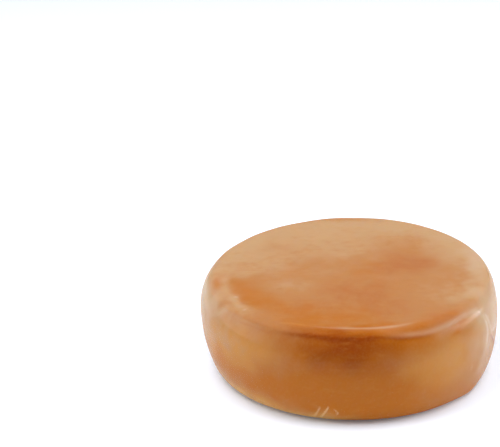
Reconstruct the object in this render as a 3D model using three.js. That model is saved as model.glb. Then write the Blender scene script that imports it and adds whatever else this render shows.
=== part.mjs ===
// A whole wheel of smoked suluguni, lying flat, with a clear film drawn tight to its rind.
// Millimetres, +Z up. The origin is on the floor, under the middle of the wheel, and the front is towards -Y.

import * as THREE from 'three';

// Driving dimensions of the wheel.
const DIAMETER = 110;         // across the widest ring
const HEIGHT = 35.7;          // from the floor to the middle of the top face
const BELLY_HEIGHT = 23.9;    // of the widest ring, which lies above half height
const FOOT_INSET = 6.8;       // from the widest ring in to the edge of the flat foot
const LEAN = 1.4;             // how far the foot lies to the right of the top face
const TOP_RISE_RIGHT = 0.2;   // rise of the top face from its middle to its right edge
const TOP_RISE_BACK = 0.6;    // and to its back edge

// The shoulder runs from the edge of the top face out to the widest ring.
const SHOULDER = 5.4;         // its mean width
const SHOULDER_LEFT = 1.3;    // it is this much wider at the left, and narrower at the right
const SHOULDER_FRONT = 3.1;   // it is this much wider at the front, and narrower at the back

// Round the front the shoulder is a flat bevel down to a lip, and the wall under the lip is drawn in.
const LIP_TURN = THREE.MathUtils.degToRad(33);  // the lip's place on the shoulder's quarter turn
const WALL_DRAW = 0.053;      // how far the wall under the lip is drawn in, as a share of its quarter turn
const LIP_FULL = 0.7;         // share of the way towards the front at which the lip is fully formed

// Slow waves round the wheel keep it from being a true circle.
const LOBES = [
  { count: 2, swell: 0.2, towards: THREE.MathUtils.degToRad(-17) },
  { count: 3, swell: 0.4, towards: THREE.MathUtils.degToRad(-41) },
];

// One place at the right of the foot bulges out a little over the floor.
const BULGE = { swell: 1, towards: THREE.MathUtils.degToRad(-34), spread: 0.12, rise: 4 };

// The faceting.
const SIDES = 96;
const TOP_RINGS = 3;
const SHOULDER_RINGS = 11;
const WALL_RINGS = 9;
const FOOT_RINGS = 1;

const RADIUS = DIAMETER / 2;
const QUARTER = Math.PI / 2;
const DRAW_SCALE = 27 / 4;    // makes the peak of x (1 - x)^2, which lies at a third, equal to 1

/** How far the lip is formed in a direction, from 0 all round the back half to 1 at the front. */
function lipShare(angle) {
  return THREE.MathUtils.smoothstep(-Math.sin(angle), 0, LIP_FULL);
}

/** Width of the shoulder in a direction. */
function shoulderWidth(angle) {
  return SHOULDER - SHOULDER_LEFT * Math.cos(angle) - SHOULDER_FRONT * Math.sin(angle);
}

/** Reach from the quarter turn's centre, as a share of a round one's, where bevel and wall meet at the lip. */
function lipForm(turn) {
  if (turn < LIP_TURN) return Math.cos(LIP_TURN / 2) / Math.cos(turn - LIP_TURN / 2);
  const below = (turn - LIP_TURN) / (QUARTER - LIP_TURN);
  return 1 - WALL_DRAW * DRAW_SCALE * below * (1 - below) ** 2;
}

/** Radius and height on the top face, share 0 at its middle and 1 at its edge. */
function topFace(angle, share) {
  return [share * (RADIUS - shoulderWidth(angle)), HEIGHT];
}

/** Radius and height on the shoulder, share 0 at the top face and 1 at the widest ring. */
function shoulder(angle, share) {
  const turn = share * QUARTER;
  const reach = THREE.MathUtils.lerp(1, lipForm(turn), lipShare(angle));
  const width = shoulderWidth(angle);
  return [
    RADIUS - width + width * reach * Math.sin(turn),
    BELLY_HEIGHT + (HEIGHT - BELLY_HEIGHT) * reach * Math.cos(turn),
  ];
}

/** Radius and height on the lower wall, share 0 at the widest ring and 1 at the foot. */
function lowerWall(angle, share) {
  const turn = share * QUARTER;
  return [RADIUS - FOOT_INSET + FOOT_INSET * Math.cos(turn), BELLY_HEIGHT * (1 - Math.sin(turn))];
}

/** Radius and height on the flat foot, share 0 at its edge and 1 at its middle. */
function foot(angle, share) {
  return [(1 - share) * (RADIUS - FOOT_INSET), 0];
}

// The bands of the outline from the middle of the foot up to the middle of the top face.
const BANDS = [
  { place: (angle, share) => foot(angle, 1 - share), rings: FOOT_RINGS },
  { place: (angle, share) => lowerWall(angle, 1 - share), rings: WALL_RINGS },
  { place: (angle, share) => shoulder(angle, 1 - share), rings: SHOULDER_RINGS },
  { place: (angle, share) => topFace(angle, 1 - share), rings: TOP_RINGS },
];

/** Every ring of the wheel as a function of the direction, from the middle of the foot to that of the top. */
function wheelRings() {
  const rings = [(angle) => foot(angle, 1)];
  for (const band of BANDS) {
    for (let ring = 1; ring <= band.rings; ring += 1) {
      rings.push((angle) => band.place(angle, ring / band.rings));
    }
  }
  return rings;
}

/** How far the rind stands out of the even wheel in a direction, at a height. */
function rindSwell(angle, height) {
  const aside = THREE.MathUtils.euclideanModulo(angle - BULGE.towards + Math.PI, 2 * Math.PI) - Math.PI;
  let swell = BULGE.swell * Math.exp(-((aside / BULGE.spread) ** 2) - (height / BULGE.rise) ** 2);
  for (const lobe of LOBES) swell += lobe.swell * Math.cos(lobe.count * (angle - lobe.towards));
  return swell;
}

/** A point of the uneven wheel, from its direction and the radius and height of the even outline. */
function unevenPoint(angle, [radius, height]) {
  const spread = 1 + rindSwell(angle, height) / RADIUS;
  const x = radius * spread * Math.cos(angle) + LEAN * (0.5 - height / HEIGHT);
  const y = radius * spread * Math.sin(angle);
  const rise = (TOP_RISE_RIGHT * x + TOP_RISE_BACK * y) / RADIUS;
  return new THREE.Vector3(x, y, height + rise * height / HEIGHT);
}

/** The wheel's closed surface: a turned outline whose rings are then given the uneven form. */
function wheelGeometry() {
  const rings = wheelRings();
  const outline = rings.map((ring) => new THREE.Vector2(...ring(0)));
  const geometry = new THREE.LatheGeometry(outline, SIDES);
  const { position, uv } = geometry.attributes;
  for (let index = 0; index < position.count; index += 1) {
    const side = Math.round(uv.getX(index) * SIDES) % SIDES;
    const ring = Math.round(uv.getY(index) * (rings.length - 1));
    const angle = (side / SIDES) * 2 * Math.PI - QUARTER;
    const point = unevenPoint(angle, rings[ring](angle));
    position.setXYZ(index, point.x, point.y, point.z);
  }
  geometry.computeBoundingBox();
  const middle = geometry.boundingBox.getCenter(new THREE.Vector3());
  geometry.translate(-middle.x, -middle.y, 0);
  geometry.computeVertexNormals();
  return geometry;
}

/** The amber, smoke-stained rind under its glossy film. */
function smokedRind() {
  return new THREE.MeshStandardMaterial({ color: 0xc68a50, roughness: 0.4, metalness: 0 });
}

const wheel = new THREE.Mesh(wheelGeometry(), smokedRind());
wheel.name = 'suluguni_wheel';

const part = new THREE.Group();
part.add(wheel);

export default part;
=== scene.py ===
"""A whole wheel of smoked suluguni in clear, skin-tight film, with its finish, its studio and its camera.

The wheel lies flat on a white table. Its form is worked out in millimetres and made in metres. Two pieces
stand for the frame's one solid: the smoked cheese with its rind, and the clear film that is shrunk to it.
"""

import logging
from dataclasses import dataclass, field
from enum import Enum

import bpy
import numpy as np
from mathutils import Matrix, Quaternion, Vector


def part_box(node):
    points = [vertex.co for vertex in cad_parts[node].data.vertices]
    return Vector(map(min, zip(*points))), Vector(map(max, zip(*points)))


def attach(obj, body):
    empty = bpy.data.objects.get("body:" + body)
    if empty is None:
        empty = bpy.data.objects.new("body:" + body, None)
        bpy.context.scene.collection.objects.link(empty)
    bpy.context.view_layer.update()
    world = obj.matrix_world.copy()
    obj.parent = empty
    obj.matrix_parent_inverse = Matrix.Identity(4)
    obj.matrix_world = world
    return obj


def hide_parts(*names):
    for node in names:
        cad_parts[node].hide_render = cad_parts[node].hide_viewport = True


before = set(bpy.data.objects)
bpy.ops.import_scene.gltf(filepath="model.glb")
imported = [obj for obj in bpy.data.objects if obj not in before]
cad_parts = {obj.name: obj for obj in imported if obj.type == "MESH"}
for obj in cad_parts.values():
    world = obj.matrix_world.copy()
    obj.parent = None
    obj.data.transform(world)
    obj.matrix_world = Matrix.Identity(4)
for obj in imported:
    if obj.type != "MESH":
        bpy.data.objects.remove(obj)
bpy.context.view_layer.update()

NODE = "suluguni_wheel"
BODY = "root"
MM = 0.001
QUARTER = np.pi / 2
WHITE = (1.0, 1.0, 1.0, 1.0)

Colour = tuple[float, float, float]
Line = tuple[tuple[float, float], ...]
Feed = float | tuple[float, ...] | bpy.types.NodeSocket

# In millimetres: the heights over which dents and the top's stains set in, and the radii for the side's.
TABLE_FADE = (0.2, 5.0)
TOP_FADE = (25.0, 33.0)
SIDE_FADE = (42.0, 47.0)

# How finely a curve is stepped before it is read between its steps.
BAND_STEPS = 200
TURN_STEPS = 400
SIDE_STEPS = 300
ROUND_STEPS = 4000
CORNER_STEPS = 11

# The slow waves that make stains ragged, and those that dent the cheese and its film alike.
STRAY_WAVES = 16
DENT_HEIGHT = 0.1
DENT_LENGTH = 17.0
DENT_WAVES = 24
DENT_SEED = 11

log = logging.getLogger("suluguni")


def smooth_step(value: np.ndarray, start: float, end: float) -> np.ndarray:
    """Rises smoothly from 0 to 1: t squared times (3 - 2t), where t runs from 0 at start to 1 at end."""
    share = np.clip((value - start) / (end - start), 0.0, 1.0)
    return share * share * (3.0 - 2.0 * share)


def turn_between(angle: np.ndarray, other: float) -> np.ndarray:
    """The signed turn from one direction to another, from minus half a turn to half a turn."""
    return (angle - other + np.pi) % (2 * np.pi) - np.pi


def waves(points: np.ndarray, length: float, count: int, seed: int) -> np.ndarray:
    """Slow chance unevenness: the sum of plane cosine waves with seeded directions, lengths and phases.

    Each wave's length is 0.7 to 1.5 times the mean one.

    Args:
        points: Places in millimetres, with x, y and z on the last axis.
        length: Mean wavelength in millimetres.
        count: Number of waves.
        seed: Seed of the random draw.

    Returns:
        The sum, scaled to about -1 to 1.
    """
    draw = np.random.default_rng(seed)
    heading = draw.normal(size=(count, 3))
    heading /= np.linalg.norm(heading, axis=1, keepdims=True)
    pace = 2 * np.pi / (length * draw.uniform(0.7, 1.5, count))
    phase = draw.uniform(0, 2 * np.pi, count)
    total = np.zeros(points.shape[:-1])
    for wave in range(count):
        total += np.cos(points @ (heading[wave] * pace[wave]) + phase[wave])
    return total / np.sqrt(2 * count)


def add_object(name: str, data: bpy.types.ID) -> bpy.types.Object:
    """Adds an object that shows the data to the scene.

    Args:
        name: The object's name.
        data: Its mesh, lamp or camera.

    Returns:
        The object.
    """
    made = bpy.data.objects.new(name, data)
    bpy.context.scene.collection.objects.link(made)
    return made


class Band(Enum):
    """The stretches of the wheel's outline, from the middle of the foot to the middle of the top."""

    FOOT = 0
    WALL = 1
    SHOULDER = 2
    TOP = 3


@dataclass(frozen=True)
class Lobe:
    """A slow wave round the wheel: how many crests, how high in millimetres, and where one crest lies."""

    count: int
    swell: float
    towards: float

    def at(self, angle: np.ndarray) -> np.ndarray:
        """Swell in a direction: the crest's height times the cosine of the crests' count times the turn."""
        return self.swell * np.cos(self.count * (angle - self.towards))


@dataclass(frozen=True)
class Bulge:
    """A place where the foot spreads a little over the table."""

    swell: float = 1.0
    towards: float = np.radians(-34)
    spread: float = 0.12
    rise: float = 4.0

    def at(self, angle: np.ndarray, height: np.ndarray) -> np.ndarray:
        """Swell at a place: a bell curve over the direction times a bell curve over the height."""
        aside = turn_between(angle, self.towards) / self.spread
        return self.swell * np.exp(-(aside**2) - (height / self.rise) ** 2)


@dataclass(frozen=True)
class WheelForm:
    """The wheel's outline in every direction, in millimetres and radians, as the frame's solid has it.

    A station is a place on the outline: how far along it from the middle of the foot, in the direction
    measured_towards. Elsewhere a band that is longer or shorter there has its stations spread evenly.
    """

    diameter: float = 110.0
    height: float = 35.7
    belly_height: float = 23.9
    foot_inset: float = 6.8
    lean: float = 1.4
    top_rise_right: float = 0.2
    top_rise_back: float = 0.6
    shoulder: float = 5.4
    shoulder_left: float = 1.3
    shoulder_front: float = 3.1
    lip_turn: float = np.radians(27)
    wall_draw: float = 0.062
    lip_full: float = 0.7
    lobes: tuple[Lobe, ...] = (Lobe(2, 0.2, np.radians(-17)), Lobe(3, 0.4, np.radians(-41)))
    bulge: Bulge = Bulge()
    rounding: float = 0.45
    pole_fade: float = 4.0
    lip_rounding: float = 1.4
    lip_reach: float = 2.5
    soft_lip_towards: float = np.radians(-40)
    soft_lip_from: float = 0.6
    soft_lip_full: float = 0.95
    measured_towards: float = np.pi / 4
    rings: tuple[int, ...] = (10, 62, 70, 42)

    @property
    def radius(self) -> float:
        """Radius of the widest ring."""
        return self.diameter / 2

    def lengths(self) -> tuple[float, ...]:
        """Length of each band along the outline, in the direction that stations are measured in.

        Returns:
            The sum of each band's fine steps, in millimetres.
        """
        share = np.linspace(0.0, 1.0, BAND_STEPS)
        outlines = [self.even_outline(self.measured_towards, share, band) for band in Band]
        return tuple(float(np.hypot(np.diff(radius), np.diff(height)).sum()) for radius, height in outlines)

    def shoulder_width(self, angle: np.ndarray) -> np.ndarray:
        """Width of the shoulder: its mean, less at the right and back, more at the left and front."""
        return self.shoulder - self.shoulder_left * np.cos(angle) - self.shoulder_front * np.sin(angle)

    def lip_form(self, turn: np.ndarray) -> np.ndarray:
        """Reach from the quarter turn's centre where a flat bevel and a drawn-in wall meet at the lip.

        Above the lip it is the chord of a circle. Below it the circle is drawn in by x (1 - x) squared,
        whose own peak is 4/27, scaled to wall_draw. There x runs from 0 at the lip to 1 at the widest ring.

        Args:
            turn: Place on the shoulder's quarter turn, 0 at the top face.

        Returns:
            The reach as a share of the round quarter turn's.
        """
        chord = np.cos(self.lip_turn / 2) / np.cos(turn - self.lip_turn / 2)
        below = np.clip((turn - self.lip_turn) / (QUARTER - self.lip_turn), 0.0, 1.0)
        drawn = 1 - self.wall_draw * 27 / 4 * below * (1 - below) ** 2
        return np.where(turn < self.lip_turn, chord, drawn)

    def even_outline(
        self, angle: np.ndarray | float, share: np.ndarray, band: Band
    ) -> tuple[np.ndarray, np.ndarray]:
        """Radius and height on one band of the outline, rising from the middle of the foot.

        The foot and the top are flat. The wall is a quarter of an ellipse from the foot's edge up to the
        widest ring, and the shoulder another one, flattened above the lip and drawn in below it.

        Args:
            angle: Directions, from +X towards +Y.
            share: Place on the band, 0 at its lower end and 1 at its upper end.
            band: Which band.

        Returns:
            Radius and height.
        """
        angle, share = np.broadcast_arrays(np.asarray(angle, float), np.asarray(share, float))
        width = self.shoulder_width(angle)
        foot_edge = self.radius - self.foot_inset
        if band is Band.FOOT:
            return share * foot_edge, np.zeros_like(share)
        if band is Band.TOP:
            return (1 - share) * (self.radius - width), np.full_like(share, self.height)
        if band is Band.WALL:
            turn = (1 - self.even_steps(share, self.foot_inset, self.belly_height)) * QUARTER
            return foot_edge + self.foot_inset * np.cos(turn), self.belly_height * (1 - np.sin(turn))
        rise = self.height - self.belly_height
        turn = (1 - self.even_steps(share, rise, self.shoulder)) * QUARTER
        formed = smooth_step(-np.sin(angle), 0.0, self.lip_full)
        reach = 1 + formed * (self.lip_form(turn) - 1)
        radius = self.radius - width * (1 - reach * np.sin(turn))
        return radius, self.belly_height + rise * reach * np.cos(turn)

    @staticmethod
    def even_steps(share: np.ndarray, start_axis: float, end_axis: float) -> np.ndarray:
        """Share of a quarter turn that lies at a share of a quarter ellipse's length.

        Args:
            share: Share of the length.
            start_axis: The half axis that the curve's start moves across.
            end_axis: The half axis that the curve's end moves across.

        Returns:
            Share of the quarter turn.
        """
        steps = np.linspace(0.0, 1.0, TURN_STEPS)
        turn = steps * QUARTER
        length = np.hypot(np.diff(start_axis * np.sin(turn)), np.diff(end_axis * np.cos(turn))).cumsum()
        return np.interp(share, np.concatenate([[0.0], length]) / length[-1], steps)

    def outline(self, angle: np.ndarray, station: np.ndarray) -> tuple[np.ndarray, np.ndarray]:
        """Radius and height at stations along the outline, with its corners still sharp.

        Args:
            angle: Directions.
            station: Stations, in millimetres.

        Returns:
            Radius and height.
        """
        ends = np.cumsum(self.lengths())
        starts = ends - self.lengths()
        angle, station = np.broadcast_arrays(np.asarray(angle, float), np.clip(station, 0.0, ends[-1]))
        which = np.clip(np.searchsorted(ends, station), 0, len(ends) - 1)
        radius, height = np.zeros(station.shape), np.zeros(station.shape)
        for band in Band:
            here = which == band.value
            share = (station[here] - starts[band.value]) / self.lengths()[band.value]
            radius[here], height[here] = self.even_outline(angle[here], share, band)
        return radius, height

    def rounded_outline(self, angle: np.ndarray, station: np.ndarray) -> tuple[np.ndarray, np.ndarray]:
        """The outline with rounded corners: its mean over a short stretch, weighted by a bell curve.

        The stretch runs to two of the bell's widths on each side, and a width shrinks to nothing at both
        ends of the outline. It is wider at the lip in the directions where the lip is soft, by a bell
        curve over the distance from it.

        Args:
            angle: Directions.
            station: Stations, in millimetres.

        Returns:
            Radius and height.
        """
        offsets = np.linspace(-2.0, 2.0, CORNER_STEPS)
        weights = np.exp(-(offsets**2) / 2)
        weights /= weights.sum()
        from_end = np.minimum(station, sum(self.lengths()) - station)
        off_pole = np.clip(from_end / self.pole_fade, 0.0, 1.0)
        at_lip = np.exp(-(((station - self.lip_station()) / self.lip_reach) ** 2))
        towards = np.cos(angle - self.soft_lip_towards)
        soft = smooth_step(towards, self.soft_lip_from, self.soft_lip_full)
        stretch = off_pole * (self.rounding + self.lip_rounding * at_lip * soft)
        radius, height = 0.0, 0.0
        for offset, weight in zip(offsets, weights):
            sharp = self.outline(angle, station + offset * stretch)
            radius, height = radius + weight * sharp[0], height + weight * sharp[1]
        return radius, height

    def lip_station(self) -> float:
        """Station of the lip, by its share of the shoulder's length."""
        lengths = self.lengths()
        return lengths[0] + lengths[1] + lengths[2] * (1 - self.lip_turn / QUARTER)

    def stations(self) -> np.ndarray:
        """Stations of the surface's rings, evenly spaced within each band and shared where bands meet.

        Returns:
            Stations, from the middle of the foot to the middle of the top.
        """
        ends = np.cumsum(self.lengths())
        starts = ends - self.lengths()
        parts = [
            np.linspace(start, end, count, endpoint=False)
            for start, end, count in zip(starts, ends, self.rings)
        ]
        return np.concatenate([*parts, ends[-1:]])

    def place(self, angle: np.ndarray, radius: np.ndarray, height: np.ndarray) -> np.ndarray:
        """Points of the uneven wheel, from directions and the even outline's radius and height.

        Lobes and bulge add to the radius, the foot leans aside from the top, and the top rises a little
        to the right and the back.

        Args:
            angle: Directions.
            radius: Radius of the even outline.
            height: Height of the even outline.

        Returns:
            Points, with x, y and z on the last axis.
        """
        swell = sum((lobe.at(angle) for lobe in self.lobes), self.bulge.at(angle, height))
        spread = radius * (1 + swell / self.radius)
        x = spread * np.cos(angle) + self.lean * (0.5 - height / self.height)
        y = spread * np.sin(angle)
        rise = (self.top_rise_right * x + self.top_rise_back * y) / self.radius
        return np.stack([x, y, height + rise * height / self.height], axis=-1)

    def station_at(self, angle: float, height: float) -> float:
        """The station on the wheel's side at which the surface has a height, in one direction.

        Args:
            angle: The direction.
            height: The height in millimetres.

        Returns:
            The station, read between fine steps up the side.
        """
        ends = np.cumsum(self.lengths())
        station = np.linspace(ends[0], ends[2], SIDE_STEPS)
        radius, rise = self.rounded_outline(np.array(angle), station)
        return float(np.interp(height, self.place(np.array(angle), radius, rise)[:, 2], station))


@dataclass(frozen=True)
class Close:
    """A direction in which the surface has its columns closer together, for folds that lie there."""

    towards: float
    spread: float
    extra: float

    def density(self, angle: np.ndarray) -> np.ndarray:
        """How many more columns there are in a direction, as a bell curve over the turn from it."""
        return self.extra * np.exp(-((turn_between(angle, self.towards) / self.spread) ** 2))


@dataclass
class Skin:
    """A closed surface over the wheel, on a grid of stations by directions, in millimetres."""

    form: WheelForm
    columns: int = 520
    close: tuple[Close, ...] = (Close(np.radians(-22), 0.28, 3.0), Close(np.radians(-99), 0.12, 5.0))
    angle: np.ndarray = field(init=False)
    station: np.ndarray = field(init=False)
    points: np.ndarray = field(init=False)
    strayed: np.ndarray = field(init=False)

    def __post_init__(self) -> None:
        """Lays the grid on the wheel's form, with its box over the middle of the frame's."""
        self.angle = self._directions()[None, :]
        self.station = self.form.stations()[:, None]
        radius, height = self.form.rounded_outline(self.angle, self.station)
        self.points = self.form.place(self.angle, radius, height)
        low, high = self.points.min(axis=(0, 1)), self.points.max(axis=(0, 1))
        box = np.array([list(corner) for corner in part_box(NODE)]) / MM
        shift = box.mean(axis=0) - (low + high) / 2
        self.points += [shift[0], shift[1], 0.0]

    def _directions(self) -> np.ndarray:
        """Directions of the columns, spaced by the inverse of the running sum of their density.

        Returns:
            Directions, from minus half a turn to half a turn.
        """
        fine = np.linspace(-np.pi, np.pi, ROUND_STEPS)
        density = 1 + sum(close.density(fine) for close in self.close)
        total = np.concatenate([[0.0], np.cumsum((density[1:] + density[:-1]) / 2)])
        share = np.arange(self.columns) / self.columns
        return np.interp(share * total[-1], total, fine)

    def normals(self) -> np.ndarray:
        """Outward unit normals, from the cross product of the steps round the wheel and up its outline.

        Returns:
            A normal for each grid point.
        """
        around = np.roll(self.points, -1, axis=1) - np.roll(self.points, 1, axis=1)
        upward = np.gradient(self.points, axis=0)
        normal = np.cross(around, upward)
        normal[0], normal[-1] = (0.0, 0.0, -1.0), (0.0, 0.0, 1.0)
        return normal / np.linalg.norm(normal, axis=-1, keepdims=True)

    def raise_by(self, amount: np.ndarray) -> None:
        """Moves every point out along its normal by an amount in millimetres, but never into the table."""
        self.points = self.points + self.normals() * np.asarray(amount)[..., None]
        self.points[..., 2] = np.maximum(self.points[..., 2], 0.0)

    def off_table(self) -> np.ndarray:
        """A mask that is 0 on the foot and rises to 1 a few millimetres above the table."""
        return smooth_step(self.points[..., 2], *TABLE_FADE)

    def stray(self, reach: float, length: float, seed: int) -> None:
        """Keeps a copy of the points, moved by chance waves of a reach and a length, for ragged marks."""
        draws = [waves(self.points, length, STRAY_WAVES, seed + axis) for axis in range(3)]
        self.strayed = self.points + reach * np.stack(draws, axis=-1)

    def places(self, ragged: bool) -> np.ndarray:
        """The points, or the strayed ones for a mark with a ragged edge."""
        return self.strayed if ragged else self.points

    def piece(
        self, name: str, material: bpy.types.Material, stains: dict[str, np.ndarray]
    ) -> bpy.types.Object:
        """Makes the surface a mesh object in metres.

        Rings join into quads, and the first and last ring, which are points, close with triangles.

        Args:
            name: The piece's name.
            material: Its material.
            stains: Values for each grid point by attribute name.

        Returns:
            The linked object.
        """
        rows, columns = self.points.shape[:2]
        inner = self.points[1:-1].reshape(-1, 3)
        places = np.concatenate([self.points[0, :1], inner, self.points[-1, :1]]) * MM
        ring = 1 + np.arange((rows - 2) * columns).reshape(rows - 2, columns)
        after = np.roll(ring, -1, axis=1)
        quads = np.stack([ring[:-1], after[:-1], after[1:], ring[1:]], axis=-1).reshape(-1, 4)
        foot = np.stack([np.zeros(columns, int), after[0], ring[0]], axis=-1)
        top = np.stack([np.full(columns, len(places) - 1), ring[-1], after[-1]], axis=-1)
        mesh = bpy.data.meshes.new(name)
        mesh.from_pydata(places.tolist(), [], [*quads.tolist(), *foot.tolist(), *top.tolist()])
        for stain, value in stains.items():
            flat = np.concatenate([value[0, :1], value[1:-1].ravel(), value[-1, :1]])
            mesh.attributes.new(stain, "FLOAT", "POINT").data.foreach_set("value", flat.astype(np.float32))
        mesh.shade_smooth()
        mesh.materials.append(material)
        return add_object(name, mesh)


class Graph:
    """The nodes of a material or a world, with short calls that add one and link what feeds it."""

    def __init__(self, owner: bpy.types.Material | bpy.types.World) -> None:
        """Starts without nodes.

        Args:
            owner: The material or world that they belong to.
        """
        self.owner = owner
        owner.use_nodes = True
        self.tree = owner.node_tree
        self.tree.nodes.clear()

    def node(
        self, kind: str, inputs: dict[str | int, Feed] | None = None, **settings: str
    ) -> bpy.types.Node:
        """Adds a node.

        Args:
            kind: The node's type name.
            inputs: Values by input; a socket is linked and anything else is set.
            settings: The node's own settings.

        Returns:
            The node.
        """
        made = self.tree.nodes.new(kind)
        for name, value in settings.items():
            setattr(made, name, value)
        for name, value in (inputs or {}).items():
            if isinstance(value, bpy.types.NodeSocket):
                self.tree.links.new(value, made.inputs[name])
            else:
                made.inputs[name].default_value = value
        return made

    def place(self, stretch: tuple[float, float, float] = (1.0, 1.0, 1.0)) -> bpy.types.NodeSocket:
        """The object's own coordinates in millimetres, divided by a stretch on each axis.

        Args:
            stretch: The stretch along x, y and z.

        Returns:
            The coordinates' socket.
        """
        coordinates = self.node("ShaderNodeTexCoord").outputs["Object"]
        scale = tuple(1 / MM / share for share in stretch)
        return self.node("ShaderNodeMapping", {"Vector": coordinates, "Scale": scale}).outputs[0]

    def noise(
        self, where: bpy.types.NodeSocket, length: float, detail: float, roughness: float = 0.55
    ) -> bpy.types.NodeSocket:
        """Noise whose features are about a length in millimetres across."""
        feeds = {"Vector": where, "Scale": 1 / length, "Detail": detail, "Roughness": roughness}
        return self.node("ShaderNodeTexNoise", feeds).outputs["Fac"]

    def between(
        self, value: bpy.types.NodeSocket, low: float, high: float, ends: tuple[float, float] = (0.0, 1.0)
    ) -> bpy.types.NodeSocket:
        """Maps a value smoothly from a low and a high to two ends."""
        feeds = {"Value": value, "From Min": low, "From Max": high, "To Min": ends[0], "To Max": ends[1]}
        return self.node("ShaderNodeMapRange", feeds, interpolation_type="SMOOTHSTEP").outputs[0]

    def sum(self, operation: str, first: Feed, second: Feed) -> bpy.types.NodeSocket:
        """One step of arithmetic on two values, by the name of the operation."""
        return self.node("ShaderNodeMath", {0: first, 1: second}, operation=operation).outputs[0]

    def attribute(self, name: str) -> bpy.types.NodeSocket:
        """A value that the mesh holds for each of its points."""
        return self.node("ShaderNodeAttribute", attribute_name=name).outputs["Fac"]

    def blend(self, share: bpy.types.NodeSocket, base: Feed, other: Colour) -> bpy.types.NodeSocket:
        """Blends two colours by a share.

        Args:
            share: How much of the other colour there is, from 0 to 1.
            base: The colour below, or its socket.
            other: The colour laid over it.

        Returns:
            The blended colour's socket.
        """
        below = base if isinstance(base, bpy.types.NodeSocket) else (*base, 1.0)
        feeds = {0: share, 6: below, 7: (*other, 1.0)}
        return self.node("ShaderNodeMix", feeds, data_type="RGBA").outputs[2]

    def bump(self, height: bpy.types.NodeSocket, strength: float, rise: float) -> bpy.types.NodeSocket:
        """The normals of a surface that a height from 0 to 1 lifts by up to a rise in metres."""
        feeds = {"Strength": strength, "Distance": rise, "Height": height}
        return self.node("ShaderNodeBump", feeds).outputs[0]

    def finish(self, surface: bpy.types.NodeSocket) -> bpy.types.Material | bpy.types.World:
        """Sends a shader to the output.

        Args:
            surface: The shader's socket.

        Returns:
            The material or world.
        """
        kind = "World" if isinstance(self.owner, bpy.types.World) else "Material"
        self.node("ShaderNodeOutput" + kind, {"Surface": surface})
        return self.owner


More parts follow.
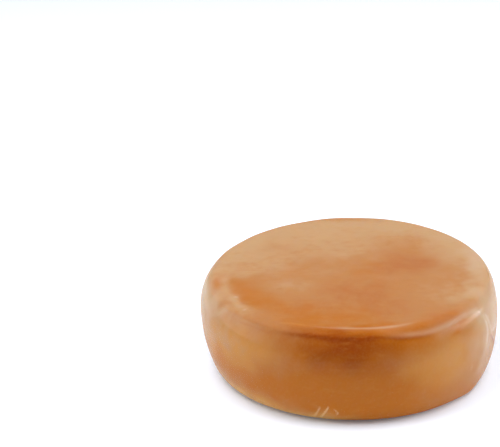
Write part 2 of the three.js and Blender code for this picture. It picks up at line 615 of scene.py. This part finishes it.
@dataclass(frozen=True)
class RindFinish:
    """The rind: amber from the smoke, under clouds of other tones, with fine streaks and a faint grain.

    The other tones are laid in the order of layers, each with how far noise breaks it up. Some stand for
    light and shade: the darkest is painted shade, the gold and the pinkish white are painted highlights
    and reflections, and the pale is partly painted sheen. Light that sinks in glows out again, reddest
    from deepest. The coat stands for the gloss of the film that clings to the rind, a little rippled.
    """

    amber: Colour = (0.42, 0.185, 0.072)
    # Also the tone of painted sheen at the rims and on the top's back.
    pale: Colour = (0.475, 0.285, 0.15)
    orange: Colour = (0.42, 0.12, 0.006)
    russet: Colour = (0.385, 0.135, 0.05)
    honey: Colour = (0.51, 0.215, 0.045)
    # Painted shade, laid under the lip and along creases.
    painted_shade: Colour = (0.25, 0.045, 0.003)
    # Painted warm highlight: glints on the pleats and the table's light on the foot.
    painted_warm_highlight: Colour = (0.62, 0.34, 0.11)
    # Painted highlight and painted reflection, pinkish white.
    painted_highlight: Colour = (0.54, 0.385, 0.27)
    # Of these layers the darkest is painted shade, the gold and the pinkish white are painted highlights
    # and reflections, and the pale is partly painted sheen.
    layers: tuple[tuple[str, float], ...] = (
        ("honey", 0.3),
        ("pale", 0.8),
        ("russet", 0.8),
        ("orange", 0.35),
        ("painted_shade", 0.15),
        ("painted_warm_highlight", 0.15),
        ("painted_highlight", 0.1),
    )
    cloud_mm: float = 15.0
    mottle_mm: float = 4.5
    grain_mm: float = 0.9
    ripple_mm: float = 7.0
    streak_mm: tuple[float, float, float] = (5.0, 1.3, 2.0)
    light_streaks: float = 0.16
    light_range: tuple[float, float] = (0.5, 0.75)
    deep_streaks: float = 0.14
    deep_range: tuple[float, float] = (0.48, 0.25)
    pale_grain: float = 0.05
    grain_range: tuple[float, float] = (0.4, 0.7)
    streak_bump: float = 0.1
    streak_rise: float = 0.0003
    ripple_bump: float = 0.25
    ripple_rise: float = 0.0004
    roughness: tuple[float, float] = (0.42, 0.58)
    mottle_range: tuple[float, float] = (0.3, 0.7)
    glow: float = 0.35
    glow_reach: Colour = (1.0, 0.35, 0.12)
    glow_depth: float = 0.003
    film_gloss: float = 0.5
    film_roughness: float = 0.17
    film_ior: float = 1.3

    def material(self) -> bpy.types.Material:
        """The rind's material: stains from the mesh's attributes, broken up by clouds, streaks and grain.

        Returns:
            The material.
        """
        graph = Graph(bpy.data.materials.new("smoked_rind"))
        place = graph.place()
        cloud = graph.noise(place, self.cloud_mm, detail=3.0)
        mottle = graph.noise(place, self.mottle_mm, detail=4.0)
        grain = graph.noise(place, self.grain_mm, detail=2.0)
        ripple = graph.noise(place, self.ripple_mm, detail=1.0)
        streak = graph.noise(graph.place(self.streak_mm), 1.0, detail=4.0)
        uneven = graph.sum("ADD", graph.sum("SUBTRACT", cloud, 0.5), graph.sum("SUBTRACT", mottle, 0.5))
        tone = self.amber
        for name, ragged in self.layers:
            share = graph.sum("ADD", graph.attribute(name), graph.sum("MULTIPLY", uneven, ragged))
            tone = graph.blend(graph.between(share, 0.0, 1.0), tone, getattr(self, name))
        for pattern, reach, most, colour in (
            (streak, self.light_range, self.light_streaks, self.honey),
            (streak, self.deep_range, self.deep_streaks, self.orange),
            (grain, self.grain_range, self.pale_grain, self.pale),
        ):
            tone = graph.blend(graph.between(pattern, *reach, (0.0, most)), tone, colour)
        bump = graph.bump(streak, self.streak_bump, self.streak_rise)
        film = graph.bump(ripple, self.ripple_bump, self.ripple_rise)
        shader = graph.node(
            "ShaderNodeBsdfPrincipled",
            {
                "Base Color": tone,
                "Roughness": graph.between(mottle, *self.mottle_range, self.roughness),
                "Specular IOR Level": 0.0,
                "Subsurface Weight": self.glow,
                "Subsurface Radius": self.glow_reach,
                "Subsurface Scale": self.glow_depth,
                "Coat Weight": self.film_gloss,
                "Coat Roughness": self.film_roughness,
                "Coat IOR": self.film_ior,
                "Coat Normal": film,
                "Normal": bump,
            },
        )
        return graph.finish(shader.outputs[0])


@dataclass(frozen=True)
class FilmFinish:
    """The film: clear where it clings to the rind, whose coat stands for its gloss, and shiny on folds."""

    grazing_gloss: float = 0.03
    grazing_power: float = 4.0
    fold_gloss: float = 0.06
    roughness: float = 0.2

    def material(self) -> bpy.types.Material:
        """The film's material: see-through, with a gloss on its outer side, at its folds and its rim.

        Returns:
            The material.
        """
        graph = Graph(bpy.data.materials.new("clear_film"))
        turned = graph.node("ShaderNodeLayerWeight", {"Blend": 0.5}).outputs["Facing"]
        rim = graph.sum("POWER", turned, self.grazing_power)
        grazing = graph.sum("MULTIPLY", rim, self.grazing_gloss)
        folded = graph.sum("MULTIPLY", graph.attribute("folded"), self.fold_gloss)
        inside = graph.node("ShaderNodeNewGeometry").outputs["Backfacing"]
        outside = graph.sum("SUBTRACT", 1.0, inside)
        share = graph.sum("MULTIPLY", graph.sum("ADD", grazing, folded), outside)
        clear = graph.node("ShaderNodeBsdfTransparent")
        shine = {"Color": WHITE, "Roughness": self.roughness}
        gloss = graph.node("ShaderNodeBsdfAnisotropic", shine)
        feeds = {0: share, 1: clear.outputs[0], 2: gloss.outputs[0]}
        return graph.finish(graph.node("ShaderNodeMixShader", feeds).outputs[0])


def near_line(
    across: np.ndarray, along: np.ndarray, line: np.ndarray, width: float, taper: float
) -> np.ndarray:
    """Nearness to a bent line on a plane: a bell curve over the distance, falling off to the line's ends.

    Args:
        across: First coordinate of each place.
        along: Second coordinate of each place.
        line: The line's points.
        width: Distance at which the bell has fallen to 1/e.
        taper: Length over which it fades at each end.

    Returns:
        Nearness from 0 to 1.
    """
    steps = np.diff(line, axis=0)
    lengths = np.hypot(*steps.T)
    runs = np.concatenate([[0.0], lengths.cumsum()])
    near = np.zeros(np.broadcast(across, along).shape)
    for start, step, length, run in zip(line, steps, lengths, runs):
        ahead = (across - start[0]) * step[0] + (along - start[1]) * step[1]
        share = np.clip(ahead / length**2, 0.0, 1.0)
        distance = np.hypot(across - start[0] - share * step[0], along - start[1] - share * step[1])
        place = run + share * length
        fade = np.clip(np.minimum(place, runs[-1] - place) / taper, 0.0, 1.0)
        near = np.maximum(near, fade * np.exp(-((distance / width) ** 2)))
    return near


def rounded_line(corners: np.ndarray, steps: int = 40, side: int = 3) -> np.ndarray:
    """Rounds a bent line: it is cut into even steps, and each point is averaged with its neighbours.

    Args:
        corners: The line's corners.
        steps: Number of points to make.
        side: Number of neighbours on each side.

    Returns:
        The rounded line's points.
    """
    run = np.concatenate([[0.0], np.hypot(*np.diff(corners, axis=0).T).cumsum()])
    places = np.linspace(0.0, run[-1], steps)
    fine = np.stack([np.interp(places, run, corners[:, axis]) for axis in (0, 1)], axis=-1)
    padded = np.pad(fine, ((side, side), (0, 0)), mode="reflect", reflect_type="odd")
    count = 2 * side + 1
    return sum(padded[shift : shift + steps] for shift in range(count)) / count


@dataclass(frozen=True)
class TopStain:
    """A soft oval of colour on the top, by its middle and half widths in millimetres, and its turn.

    The middle is seen from above, with x to the right and y to the back. A ragged mark's edge strays.
    """

    middle: tuple[float, float]
    size: tuple[float, float]
    strength: float
    turn: float = 0.0
    ragged: bool = True

    def at(self, skin: Skin) -> np.ndarray:
        """A bell curve over the distance, in half widths, from the middle.

        Args:
            skin: The surface.

        Returns:
            The strength at each point.
        """
        points = skin.places(self.ragged)
        turn = np.radians(self.turn)
        x, y = points[..., 0] - self.middle[0], points[..., 1] - self.middle[1]
        along = (x * np.cos(turn) + y * np.sin(turn)) / self.size[0]
        aside = (y * np.cos(turn) - x * np.sin(turn)) / self.size[1]
        return self.strength * np.exp(-(along**2) - aside**2) * smooth_step(points[..., 2], *TOP_FADE)


@dataclass(frozen=True)
class TopTrail:
    """A soft trail of colour on the top, along a line in millimetres."""

    line: Line
    width: float
    strength: float
    taper: float = 6.0
    ragged: bool = False

    def at(self, skin: Skin) -> np.ndarray:
        """Nearness to the line, seen from above.

        Args:
            skin: The surface.

        Returns:
            The strength at each point.
        """
        points = skin.places(self.ragged)
        line = rounded_line(np.array(self.line))
        near = near_line(points[..., 0], points[..., 1], line, self.width, self.taper)
        return self.strength * near * smooth_step(points[..., 2], *TOP_FADE)


@dataclass(frozen=True)
class SideStain:
    """A soft oval of colour on the side, by its direction in degrees and height in millimetres.

    Directions are 0 at the right and -90 at the front.
    """

    angle: float
    height: float
    spread: float
    rise: float
    strength: float
    ragged: bool = True

    def at(self, skin: Skin) -> np.ndarray:
        """A bell curve over the turn and the height from the middle.

        Args:
            skin: The surface.

        Returns:
            The strength at each point.
        """
        points = skin.places(self.ragged)
        direction = np.arctan2(points[..., 1], points[..., 0])
        aside = turn_between(direction, np.radians(self.angle)) / np.radians(self.spread)
        above = (points[..., 2] - self.height) / self.rise
        outer = smooth_step(np.hypot(points[..., 0], points[..., 1]), *SIDE_FADE)
        return self.strength * np.exp(-(aside**2) - above**2) * outer


@dataclass(frozen=True)
class SideTrail:
    """A line on the wheel's side, by directions in degrees and heights in millimetres.

    It stands for a fold or a groove, where its rise is in millimetres, and for a line of colour: a
    stain's edge, a painted highlight or a painted line of shade.
    """

    line: Line
    rise: float
    width: float
    taper: float = 1.5

    def at(self, skin: Skin) -> np.ndarray:
        """The rise times the nearness to the line, on the side rolled out flat, with stations for heights.

        Args:
            skin: The surface.

        Returns:
            The rise at each point.
        """
        radius = skin.form.radius
        corners = np.array([
            (np.radians(angle) * radius, skin.form.station_at(np.radians(angle), height))
            for angle, height in self.line
        ])
        middle = corners[:, 0].mean()
        across = turn_between(skin.angle, middle / radius) * radius + middle
        return self.rise * near_line(across, skin.station, rounded_line(corners), self.width, self.taper)


Mark = TopStain | TopTrail | SideStain | SideTrail

# Lines on the side that show in the film's shape, and in the rind's colour as painted highlights and
# painted shade,
# by direction and height: three pleats at the foot, the gathered band under the lip, two arcs at the right
# and what is drawn in there.
PLEATS: tuple[Line, ...] = (
    ((-101.6, 7.6), (-102.6, 5.6), (-104.0, 3.4), (-105.6, 1.5)),
    ((-98.4, 7.8), (-99.2, 6.2), (-101.2, 3.4), (-103.7, 0.5)),
    ((-96.6, 6.4), (-95.2, 4.8), (-95.8, 3.5)),
)
LIP_BAND: Line = (
    (-26, 31.8), (-37.3, 33.3), (-45, 33.0), (-50, 32.7),
    (-56, 32.4), (-61, 32.6), (-69.6, 33.1), (-78, 33.5),
)
OUTER_ARC: Line = ((-28.5, 30), (-26.9, 27), (-26.6, 23), (-26.9, 20), (-28.2, 15.5))
INNER_ARC: Line = ((-27.7, 31.5), (-25.6, 28.5), (-24.4, 24.9), (-23.4, 21.4))
UPPER_DRAW: Line = ((-23.4, 21.3), (-19.0, 21.8), (-15.6, 22.7))
LOWER_DRAW: Line = ((-23.9, 20.9), (-18.0, 15.9), (-11.7, 11.4))
NICK: Line = ((-37.7, 14.2), (-38.7, 12.5))

LIP_GROOVE = SideTrail(((-91.5, 32.2), (-88.5, 33.0), (-85.5, 33.8), (-82.0, 34.2)), -0.35, 0.7, 2.0)


def shared_relief(skin: Skin) -> np.ndarray:
    """What cheese and film share, in millimetres: soft dents off the table, and the groove at the lip."""
    dents = DENT_HEIGHT * waves(skin.points, DENT_LENGTH, DENT_WAVES, DENT_SEED) * skin.off_table()
    return dents + LIP_GROOVE.at(skin)


@dataclass
class SmokedCheese:
    """The cheese with its rind, just inside the film.

    Its marks are a field for each tone: stains that the smoke left, with painted shade under the lip,
    painted highlights and reflections along the lip, the rims, the folds and the foot, and a pale tone
    that is partly painted sheen.
    """

    form: WheelForm
    finish: RindFinish = RindFinish()
    film_gap: float = 0.2
    stray: float = 1.6
    stray_length: float = 9.0
    stray_seed: int = 31
    tones: tuple[str, ...] = ("honey", "pale", "orange", "russet", "painted_shade", "painted_warm_highlight", "painted_highlight")
    # The rind's own pale tone, and painted sheen: the pale bands at the left and right rims and along the
    # left shoulder's edge are painted reflections, and the paler back of the top is partly painted sheen.
    pale: tuple[Mark, ...] = (
        TopStain((-14, 38), (42, 17), 0.85),
        TopStain((-46, 18), (9, 20), 0.6),
        TopStain((43, 22), (14, 20), 0.85),
        TopStain((22, 47), (24, 7), 0.45),
        TopStain((51, 4), (6, 14), 0.5),
        TopStain((-38, 24), (9, 9), 0.3),
        TopStain((-33, 10), (11, 9), 0.3),
        TopStain((-22, 12), (18, 14), 0.35),
        TopStain((2, 18), (14, 8), 0.4),
        TopStain((-20, -12), (9, 6), 0.45),
        TopStain((-8, 0), (10, 5), 0.25),
        TopStain((15, -4), (6, 4), 0.25),
        TopStain((18, 42), (10, 5), 0.3),
        TopStain((34, 36), (8, 8), 0.2),
        TopStain((36, -18), (13, 12), 0.5),
        TopTrail(((-44, -18), (-38, -30), (-30, -37)), 2.8, 0.3, ragged=True),
        TopTrail(((-45.6, -7), (-45, -13.6), (-42.9, -18.7), (-40.1, -23.5), (-37.8, -28.6),
                  (-35.5, -31.9)), 1.5, 0.45, 5.0),
        SideStain(-170, 27, 16, 12, 1.0),
        SideStain(-140, 27, 14, 8, 0.35),
        SideStain(-153, 32.5, 9, 2.2, 0.5),
        SideStain(-16, 28, 13, 10, 1.0),
        SideStain(-38, 22, 10, 10, 0.2),
        SideStain(-52, 20, 8, 10, 0.2),
        TopStain((-36, 0), (7, 4), 0.4),
        SideStain(-105, 4, 12, 4.5, 0.3),
        SideStain(-30, 22, 8, 12, 0.35),
        SideStain(90, 20, 70, 16, 0.4),
    )
    # Painted warm highlights and painted reflected light: glints along the pleats at the foot, a warm line
    # on the top's front edge, a warm patch near the right of the lip, and the white table's light on the
    # foot.
    painted_warm_highlight: tuple[Mark, ...] = (
        SideTrail(PLEATS[0], 0.5, 0.35),
        SideTrail(PLEATS[1], 0.9, 0.3),
        SideTrail(PLEATS[2], 0.5, 0.4, 0.8),
        SideTrail(((-125.0, 1.4), (-112.0, 1.1), (-103.0, 0.9), (-93.0, 1.3)), 0.5, 0.7, 6.0),
        SideStain(-144, 3.2, 14, 3.5, 0.6),
        TopTrail(((-27, -39.8), (-23.6, -41.3), (-20.4, -42.0), (-16.9, -43.1), (-11.5, -44.9)),
                 0.7, 0.24, 5.0),
        SideStain(-35, 27, 7, 6, 0.25),
        SideStain(-124, 1.2, 12, 2.0, 0.4),
        SideStain(-103, 2.6, 14, 2.8, 0.55),
    )
    honey: tuple[Mark, ...] = (
        SideStain(-145, 20, 22, 10, 0.9),
        # The warm band along the front of the foot is partly the rind's tone and partly painted reflection
        # of the white table.
        SideStain(-124, 2, 36, 5, 0.9),
        SideStain(-126, 26, 16, 6, 0.5),
        SideStain(-52, 21, 16, 11, 0.8),
        SideStain(-62, 14, 14, 8, 0.35),
        SideStain(60, 18, 60, 12, 0.5),
        SideStain(-67, 19, 8, 8, 0.3),
        SideStain(-96, 29, 10, 4, 0.2),
    )
    orange: tuple[Mark, ...] = (
        TopTrail(((-42, -2), (-39, -12), (-34, -22), (-26, -30), (-14, -35), (0, -39), (14, -41)),
                 7.0, 0.42, 8.0, ragged=True),
        TopTrail(((19, -46.6), (22, -45.2), (24.6, -43.4), (27.4, -41.5), (30.2, -39.8), (33.1, -37.5),
                  (36, -35), (41, -30)), 1.8, 0.3, 5.0),
        TopStain((-30, -26), (10, 6), 0.12, turn=-45.0),
        TopStain((2, -30), (18, 8), 0.2),
        TopStain((-16, -41), (14, 4), 0.3),
        TopStain((6, -50), (38, 5), 0.5),
        TopStain((8, -12), (18, 16), 0.2),
        TopStain((9, 8), (4, 3), 0.25),
        TopStain((5, 0), (6, 3), 0.25),
        TopStain((0, 50), (12, 2.5), 0.4),
        SideStain(-90, 17, 26, 16, 1.0),
        SideStain(-98, 11, 40, 7, 0.5),
        SideStain(-110, 23, 11, 8, 0.18),
        SideStain(-52, 1.5, 30, 3.2, 0.6),
        SideStain(-140, 12, 18, 6, 0.3),
        SideStain(-55, 6, 30, 8, 0.3),
        SideStain(-65, 30, 12, 4, 0.48),
        SideStain(-87, 24.5, 11, 4, 0.2),
        SideStain(-46.5, 29.2, 2.5, 1.5, 0.5),
        SideStain(-41, 29.3, 6, 4, 0.35),
        SideStain(-125, 13, 14, 9, 0.2),
        SideStain(-150, 16, 9, 9, 0.25),
        TopStain((24, -46), (10, 4), 0.15),
        TopStain((-47.5, -9), (3.5, 8), 0.25),
        TopStain((-48.6, -9.5), (2.0, 5.0), 0.4, ragged=False),
        TopTrail(((-41.5, -9), (-39.5, -17), (-35.5, -24), (-30, -30)), 2.6, 0.1, 6.0),
        SideStain(110, 14, 60, 9, 0.5),
        SideStain(30, 10, 40, 9, 0.5),
    )
    russet: tuple[Mark, ...] = (
        TopStain((22, 5), (13, 9), 0.55, turn=15.0),
        TopStain((19, 15), (13, 10), 0.32, turn=10.0),
        TopStain((3, -17), (14, 9), 0.6, turn=-20.0),
        TopStain((-12, -32), (12, 8), 0.4),
        TopStain((10, -32), (12, 8), 0.42),
        TopStain((34, -37), (10, 5), 0.5, turn=38.0),
        TopStain((-28, 22), (8, 5), 0.3),
        TopStain((-13, 8), (9, 8), 0.3),
        TopStain((-48, -8), (3, 7), 0.2),
        TopStain((0, -50), (30, 4), 0.6),
        SideStain(-128, 9, 24, 5, 0.4),
        SideStain(-84, 7, 24, 5, 0.4),
        SideStain(70, 24, 40, 6, 0.4),
        # Painted shade: a reddish line along the lip's lower edge at the left.
        SideTrail(((-142, 31.9), (-136, 32.2), (-129.5, 32.2), (-123.5, 32.0), (-117.7, 32.3)),
                  0.35, 0.6, 5.0),
    )
    # Painted shade: the dark band under the front lip, dark lines along the lip and the top's front edge,
    # and the drawn-in crease at the right.
    painted_shade: tuple[Mark, ...] = (
        SideStain(-90, 30.0, 21, 4.0, 0.55),
        SideStain(-100, 27, 26, 7, 0.15),
        SideStain(-84, 26, 18, 6, 0.25),
        SideStain(-100, 22, 20, 5, 0.12),
        SideTrail(((-110, 33.0), (-105.6, 33.3), (-99.7, 32.9), (-94, 32.3), (-90.5, 32.7), (-86, 33.6),
                   (-83, 34)), 0.22, 0.7, 5.0),
        SideTrail(((-93, 32.2), (-83, 33.0), (-76, 33.1), (-67, 31.9), (-59, 31.6), (-53, 31.6)),
                  0.4, 0.7, 8.0),
        SideTrail(((-122, 32.3), (-117.7, 32.7), (-112.1, 33.0), (-108.5, 33.1), (-104.7, 33.2),
                   (-99.2, 33.2), (-94.6, 32.9), (-89.5, 33.0)), 0.17, 0.5, 9.0),
        TopTrail(((-24, -43.3), (-20.5, -44.1), (-14.9, -45.6), (-9.7, -46.6), (-4.5, -47.6), (4, -48.2)),
                 1.1, 0.14, 5.0),
        SideTrail(((-122, 32.9), (-108, 33.4), (-90, 33.6), (-80, 33.9)), 0.3, 1.6, 9.0),
        SideTrail(LOWER_DRAW, 0.75, 0.6),
    )
    # Painted highlights and painted reflections: the pinkish band along the lip, the pale rims at the left
    # and right, glints on the folds at the right, the bright line along the top's front edge, and glints on
    # two tiny bubbles.
    painted_highlight: tuple[Mark, ...] = (
        SideTrail(((-27, 31.9), (-30, 32.4), (-35, 33.0), (-39, 33.5)), 0.38, 1.6, 8.0),
        SideTrail(LIP_BAND, 0.4, 1.1, 12.0),
        TopStain((46.5, -27.5), (3.5, 3.5), 0.25),
        TopStain((48, 3), (5, 15), 0.28),
        TopStain((38, 33), (9, 6), 0.2),
        TopStain((-49, 9), (3, 4.5), 0.3, ragged=False),
        SideStain(-174, 32.4, 6, 1.5, 0.3, ragged=False),
        SideStain(-27.5, 16, 4, 12, 0.35),
        SideTrail(((-29.2, 31.6), *OUTER_ARC), 0.55, 0.6, 5.0),
        SideTrail(INNER_ARC, 0.45, 0.5, 3.0),
        SideTrail(UPPER_DRAW, 0.5, 0.5),
        SideTrail(NICK, 0.5, 0.4, 0.8),
        SideStain(-20, 31, 8, 5, 0.15),
        SideStain(-20, 24, 8, 14, 0.35),
        SideStain(-166, 31, 18, 4.5, 0.55),
        TopStain((49, 18), (7, 18), 0.35),
        TopStain((-40.4, -21.0), (0.6, 0.6), 0.5, ragged=False),
        TopStain((-36.6, -30.7), (0.6, 0.6), 0.5, ragged=False),
        TopTrail(((-14, -44.4), (-4, -45.6), (4, -46.4), (10, -46.1), (16, -45.0), (21, -43.1), (27, -39)),
                 0.7, 0.36, 14.0),
        TopTrail(((-15, -43.7), (-11.5, -44.9), (-6.2, -46.0), (-1.0, -46.5), (4, -46.5)),
                 0.55, 0.15, 5.0),
        TopTrail(((-10, -46), (4, -47.2), (10, -46.9), (16, -45.6), (21, -43.2), (27, -39)),
                 1.6, 0.15, 9.0),
    )

    def build(self) -> bpy.types.Object:
        """Makes the cheese piece, with its stains as attributes of its mesh.

        Returns:
            The piece.
        """
        skin = Skin(self.form)
        skin.raise_by(shared_relief(skin) - self.film_gap)
        skin.stray(self.stray, self.stray_length, self.stray_seed)
        stains = {}
        for name in self.tones:
            marks = getattr(self, name)
            stains[name] = np.clip(sum(mark.at(skin) for mark in marks), 0.0, 1.0)
        piece = skin.piece("smoked_cheese", self.finish.material(), stains)
        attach(piece, BODY)
        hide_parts(NODE)
        return piece


@dataclass
class ClearFilm:
    """The clear film, shrunk to the cheese, with the few folds that shrinking left."""

    form: WheelForm
    finish: FilmFinish = FilmFinish()
    full_fold: float = 0.3
    folds: tuple[SideTrail, ...] = (
        SideTrail(PLEATS[0], 0.3, 0.35),
        SideTrail(PLEATS[1], 0.4, 0.35),
        SideTrail(PLEATS[2], 0.2, 0.35, 0.8),
        SideTrail(((-30.2, 33.2), *OUTER_ARC), 0.3, 0.6, 6.0),
        SideTrail(INNER_ARC, 0.3, 0.5, 3.0),
        SideTrail(LOWER_DRAW, 0.45, 0.5),
        SideTrail(UPPER_DRAW, 0.35, 0.5),
        SideTrail(((-23.6, 20.8), (-24.6, 20.1), (-26.1, 18.0), (-27.7, 15.5)), 0.3, 0.45),
        SideTrail(NICK, 0.12, 0.4, 0.8),
        SideTrail(((-94.0, 32.1), (-93.0, 30.3)), 0.08, 0.35, 0.8),
        SideTrail(((-96.5, 32.7), (-95.0, 30.7)), 0.06, 0.35, 0.8),
        SideTrail(LIP_BAND, 0.05, 1.4, 12.0),
    )

    def build(self) -> bpy.types.Object:
        """Makes the film piece, with how far it is folded as an attribute of its mesh.

        Returns:
            The piece.
        """
        skin = Skin(self.form)
        skin.raise_by(shared_relief(skin))
        rise = sum(fold.at(skin) for fold in self.folds)
        skin.raise_by(rise)
        folded = np.clip(rise / self.full_fold, 0.0, 1.0)
        piece = skin.piece("clear_film", self.finish.material(), {"folded": folded})
        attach(piece, BODY)
        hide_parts(NODE)
        return piece


@dataclass(frozen=True)
class SoftBox:
    """A soft studio lamp, by its direction from the wheel, its distance, its size and its power."""

    name: str
    azimuth: float
    elevation: float
    size: tuple[float, float]
    power: float
    tilt: float = 0.0
    gloss: bool = True
    distance: float = 1.0

    def build(self) -> None:
        """Makes the lamp, turned to face the wheel and hidden from the camera itself."""
        lamp = bpy.data.lights.new(self.name, "AREA")
        lamp.shape = "RECTANGLE"
        lamp.size, lamp.size_y = self.size
        lamp.energy = self.power
        azimuth, elevation = np.radians(self.azimuth), np.radians(self.elevation)
        level = np.cos(elevation)
        towards = Vector((np.cos(azimuth) * level, np.sin(azimuth) * level, np.sin(elevation)))
        made = add_object(self.name, lamp)
        made.location = towards * self.distance
        tilt = Quaternion((0.0, 0.0, 1.0), np.radians(self.tilt))
        made.rotation_euler = (towards.to_track_quat("Z", "Y") @ tilt).to_euler()
        made.visible_camera = False
        made.visible_glossy = self.gloss


@dataclass(frozen=True)
class Studio:
    """The white table, the soft boxes round it and the pale room that they stand in.

    The table glows white, and the glow fades towards the wheel between two distances in millimetres: a
    painted shadow round the foot, short on a white ground. The fade is squeezed to reach nearer at the
    sides.
    """

    table_size: float = 12.0
    table_tone: Colour = (0.82, 0.885, 0.98)
    table_roughness: float = 0.9
    table_glow: float = 0.3
    painted_shadow_radii: tuple[float, float] = (43.5, 61.5)
    painted_shadow_squeeze: float = 1.1
    room: float = 0.02
    boxes: tuple[SoftBox, ...] = (
        SoftBox("left_high", 180.0, 66.5, (0.7, 0.6), 7.4, gloss=False),
        SoftBox("right_high", 0.0, 66.5, (0.7, 0.6), 6.2, gloss=False),
        SoftBox("front_fill", -85.0, 9.0, (0.9, 0.3), 2.0, gloss=False),
        SoftBox("left_strip", 182.0, 20.0, (0.8, 0.4), 2.8),
        SoftBox("right_strip", 8.0, 14.0, (0.6, 0.16), 2.5, -20.0),
        SoftBox("right_band", 0.0, 30.0, (0.7, 0.16), 1.2, 20.0),
    )

    def build(self) -> None:
        """Makes the table, the lamps and the room's even light."""
        half = self.table_size / 2
        mesh = bpy.data.meshes.new("table")
        corners = [(-half, -half, 0.0), (half, -half, 0.0), (half, half, 0.0), (-half, half, 0.0)]
        mesh.from_pydata(corners, [], [(0, 1, 2, 3)])
        graph = Graph(bpy.data.materials.new("white_table"))
        tone = (*self.table_tone, 1.0)
        # Painted shadow: the table's glow is faded out round the wheel's foot.
        squeeze = {0: graph.place(), 1: (self.painted_shadow_squeeze, 1.0, 1.0)}
        squeezed = graph.node("ShaderNodeVectorMath", squeeze, operation="MULTIPLY").outputs[0]
        reach = graph.node("ShaderNodeVectorMath", {0: squeezed}, operation="LENGTH").outputs["Value"]
        matt = graph.node(
            "ShaderNodeBsdfPrincipled",
            {
                "Base Color": tone,
                "Roughness": self.table_roughness,
                "Specular IOR Level": 0.0,
                "Emission Color": tone,
                "Emission Strength": graph.between(reach, *self.painted_shadow_radii, (0.0, self.table_glow)),
            },
        )
        mesh.materials.append(graph.finish(matt.outputs[0]))
        table = add_object("table", mesh)
        for box in self.boxes:
            box.build()
        self._light_room()

    def _light_room(self) -> None:
        """Gives the room a dim even light, and shows it white behind the table."""
        graph = Graph(bpy.data.worlds.new("pale_room"))
        dim = graph.node("ShaderNodeBackground", {"Color": WHITE, "Strength": self.room})
        bright = graph.node("ShaderNodeBackground", {"Color": WHITE})
        seen = graph.node("ShaderNodeLightPath").outputs["Is Camera Ray"]
        feeds = {0: seen, 1: dim.outputs[0], 2: bright.outputs[0]}
        bpy.context.scene.world = graph.finish(graph.node("ShaderNodeMixShader", feeds).outputs[0])


@dataclass(frozen=True)
class PhotoCamera:
    """The photograph's viewpoint, in front of the wheel and above it, with the wheel low at the right.

    It stands at a distance and an elevation from a point in the middle of the wheel, and is turned so
    that this point shows at a pixel of the frame.
    """

    distance: float = 0.6
    aim_height: float = 0.0175
    elevation: float = np.radians(25.49)
    roll: float = np.radians(-0.19)
    frame_size: tuple[float, float] = (500.0, 447.0)
    aim_pixel: tuple[float, float] = (347.9, 316.3)
    focal_pixels: float = 1593.8
    sensor: float = 36.0

    def build(self) -> None:
        """Makes the camera and sets it as the scene's."""
        data = bpy.data.cameras.new("camera")
        data.sensor_width = self.sensor
        data.lens = self.focal_pixels / self.frame_size[0] * self.sensor
        made = add_object("camera", data)
        back = Vector((0.0, -np.cos(self.elevation), np.sin(self.elevation)))
        right = Vector((1.0, 0.0, 0.0))
        look = Matrix((right, back.cross(right), back)).transposed()
        aside = (self.aim_pixel[0] - self.frame_size[0] / 2) / self.focal_pixels
        below = (self.aim_pixel[1] - self.frame_size[1] / 2) / self.focal_pixels
        ahead = Vector((0.0, 0.0, -1.0))
        turn = ahead.rotation_difference(Vector((aside, -below, -1.0))).inverted()
        rolled = Quaternion((0.0, 0.0, 1.0), self.roll)
        made.rotation_mode = "QUATERNION"
        made.rotation_quaternion = look.to_quaternion() @ turn @ rolled
        made.location = Vector((0.0, 0.0, self.aim_height)) + back * self.distance
        bpy.context.scene.camera = made


def clear_start_scene() -> None:
    """Removes the cube, lamp and camera that Blender starts with."""
    for name in ("Cube", "Light", "Camera"):
        if name in bpy.data.objects:
            bpy.data.objects.remove(bpy.data.objects[name])


def main() -> None:
    """Builds the camera, the studio and the two pieces, and reports each piece."""
    logging.basicConfig(level=logging.INFO, format="%(message)s")
    clear_start_scene()
    bpy.context.scene.view_settings.view_transform = "Standard"
    PhotoCamera().build()
    Studio().build()
    form = WheelForm()
    for maker in (SmokedCheese(form), ClearFilm(form)):
        piece = maker.build()
        log.info("%s: %d faces", piece.name, len(piece.data.polygons))


if __name__ == "__main__":
    main()
